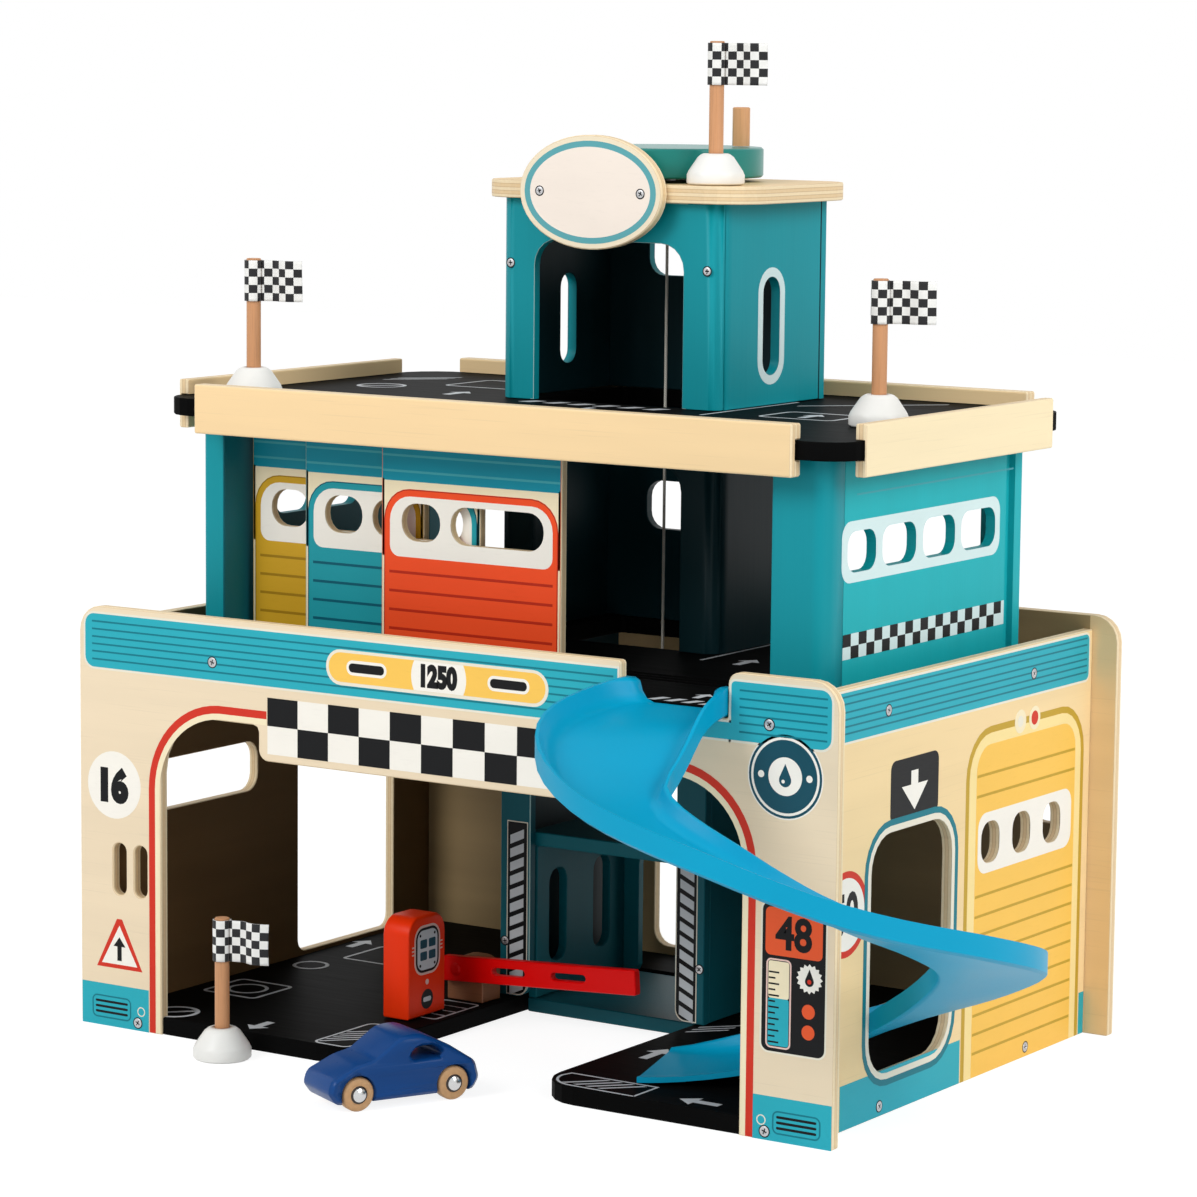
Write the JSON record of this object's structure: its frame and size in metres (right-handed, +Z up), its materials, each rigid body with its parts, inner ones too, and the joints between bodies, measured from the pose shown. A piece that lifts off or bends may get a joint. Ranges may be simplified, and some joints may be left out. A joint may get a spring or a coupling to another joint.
{
  "type": "toy garage",
  "caption": "Three-storey wooden toy garage with cord lift and roof crank, sliding doors, spiral ramp, barrier, pump, flags and a small car.",
  "frame": {"origin": "on the ground under the middle of the whole part's box", "axes": "+Z up, +X along the front panel towards the ramp side, +Y from the front panel to the back"},
  "size_m": [0.4888, 0.3714, 0.4509],
  "materials": {
    "birch": "clear satin lacquer",
    "red_paint": "red satin paint",
    "steel": "zinc plated",
    "black_board": "black satin paint",
    "teal_paint": "teal satin paint",
    "deep_teal_paint": "dark teal satin paint",
    "car_blue": "blue satin paint",
    "dowel": "plain sanded wood",
    "door_blue_print": "printed blue",
    "door_red_print": "printed orange red",
    "door_yellow_print": "printed yellow",
    "white_paint": "white satin paint",
    "check_cloth": "black and white check",
    "birch_inside": "clear satin lacquer",
    "cord": "plain cord",
    "ramp_blue": "moulded blue"
  },
  "bodies": {
    "garage": {"back_panel": "birch", "base_plate": "black_board", "cord_eye": "steel", "front_panel": "birch", "gate_front": "deep_teal_paint", "gate_left": "deep_teal_paint", "gate_right": "deep_teal_paint", "left_panel": "birch_inside", "lift_cord": "cord", "mid_shaft_back": "deep_teal_paint", "mid_shaft_front": "deep_teal_paint", "mid_shaft_left": "deep_teal_paint", "mid_shaft_right": "deep_teal_paint", "parapet_back": "birch", "parapet_front": "birch", "parapet_left": "birch", "parapet_right": "birch", "ramp": "ramp_blue", "right_panel": "birch", "roof_deck": "black_board", "sign_plate": "white_paint", "storey_floor": "black_board", "tower_back": "teal_paint", "tower_front": "teal_paint", "tower_left": "teal_paint", "tower_right": "teal_paint", "tower_roof": "birch", "upper_post_right": "teal_paint", "upper_wall_left": "teal_paint", "upper_wall_right": "teal_paint"},
    "lift": {"cabin_floor": "deep_teal_paint", "cabin_roof": "teal_paint", "cabin_left": "teal_paint", "cabin_right": "teal_paint", "cabin_back": "teal_paint"},
    "crank": {"crank_disc": "teal_paint", "crank_peg": "dowel", "crank_spool": "steel"},
    "red_door": {"door_red": "door_red_print"},
    "blue_door": {"door_blue": "door_blue_print"},
    "yellow_door": {"door_yellow": "door_yellow_print"},
    "barrier_stand": {"barrier_block": "birch", "barrier_pin": "steel"},
    "barrier_bar": {"barrier_arm": "red_paint"},
    "fuel_pump": {"pump": "red_paint"},
    "flag_roof": {"flag_roof_base": "white_paint", "flag_roof_pole": "dowel", "flag_roof_cloth": "check_cloth"},
    "flag_deck_left": {"flag_deck_left_base": "white_paint", "flag_deck_left_pole": "dowel", "flag_deck_left_cloth": "check_cloth"},
    "flag_deck_right": {"flag_deck_right_base": "white_paint", "flag_deck_right_pole": "dowel", "flag_deck_right_cloth": "check_cloth"},
    "flag_ground": {"flag_ground_base": "white_paint", "flag_ground_pole": "dowel", "flag_ground_cloth": "check_cloth"},
    "car": {"car_body": "car_blue"},
    "front_wheels": {"car_front_wheels": "dowel"},
    "rear_wheels": {"car_rear_wheels": "dowel"}
  },
  "joints": [
    {"name": "lift_slide", "type": "slide", "parent": "garage", "child": "lift", "axis": [0, 0, 1], "range_m": [0, 0.2805], "deforming": ["lift_cord"]},
    {"name": "crank_turn", "type": "hinge", "parent": "garage", "child": "crank", "pos_m": [-0.04145, 0.10575, 0.3874], "axis": [0, 0, -1], "range_deg": [0, 1608]},
    {"name": "red_door_slide", "type": "slide", "parent": "garage", "child": "red_door", "axis": [1, 0, 0], "range_m": [-0.0848, 0.109]},
    {"name": "blue_door_slide", "type": "slide", "parent": "garage", "child": "blue_door", "axis": [1, 0, 0], "range_m": [-0.0377, 0.156]},
    {"name": "yellow_door_slide", "type": "slide", "parent": "garage", "child": "yellow_door", "axis": [1, 0, 0], "range_m": [-0.003, 0.191]},
    {"name": "barrier_lift_off", "type": "slide", "parent": "garage", "child": "barrier_stand", "axis": [0, 0, 1], "range_m": [0, 0.03]},
    {"name": "barrier_swing", "type": "hinge", "parent": "barrier_stand", "child": "barrier_bar", "pos_m": [-0.10645, 0.03835, 0.024], "axis": [0, -1, 0], "range_deg": [-3.5, 80]},
    {"name": "pump_lift_off", "type": "slide", "parent": "garage", "child": "fuel_pump", "axis": [0, 0, 1], "range_m": [0, 0.05]},
    {"name": "flag_roof_lift_off", "type": "slide", "parent": "garage", "child": "flag_roof", "axis": [0, 0, 1], "range_m": [0, 0.03]},
    {"name": "flag_deck_left_lift_off", "type": "slide", "parent": "garage", "child": "flag_deck_left", "axis": [0, 0, 1], "range_m": [0, 0.03]},
    {"name": "flag_deck_right_lift_off", "type": "slide", "parent": "garage", "child": "flag_deck_right", "axis": [0, 0, 1], "range_m": [0, 0.03]},
    {"name": "flag_ground_lift_off", "type": "slide", "parent": "garage", "child": "flag_ground", "axis": [0, 0, 1], "range_m": [0, 0.03]},
    {"name": "car_roll", "type": "slide", "parent": "garage", "child": "car", "axis": [-0.454, -0.891, 0], "range_m": [0, 0.06]},
    {"name": "front_wheels_turn", "type": "hinge", "parent": "car", "child": "front_wheels", "pos_m": [-0.05234, -0.12405, 0.0074], "axis": [0.891, -0.454, 0], "range_deg": [0, 465]},
    {"name": "rear_wheels_turn", "type": "hinge", "parent": "car", "child": "rear_wheels", "pos_m": [-0.03177, -0.08369, 0.0074], "axis": [0.891, -0.454, 0], "range_deg": [0, 465]}
  ],
  "couplings": [
    {"joint": "crank_turn", "follows": "lift_slide", "rad_per_m": 100},
    {"joint": "front_wheels_turn", "follows": "car_roll", "rad_per_m": 135.13},
    {"joint": "rear_wheels_turn", "follows": "car_roll", "rad_per_m": 135.13}
  ]
}
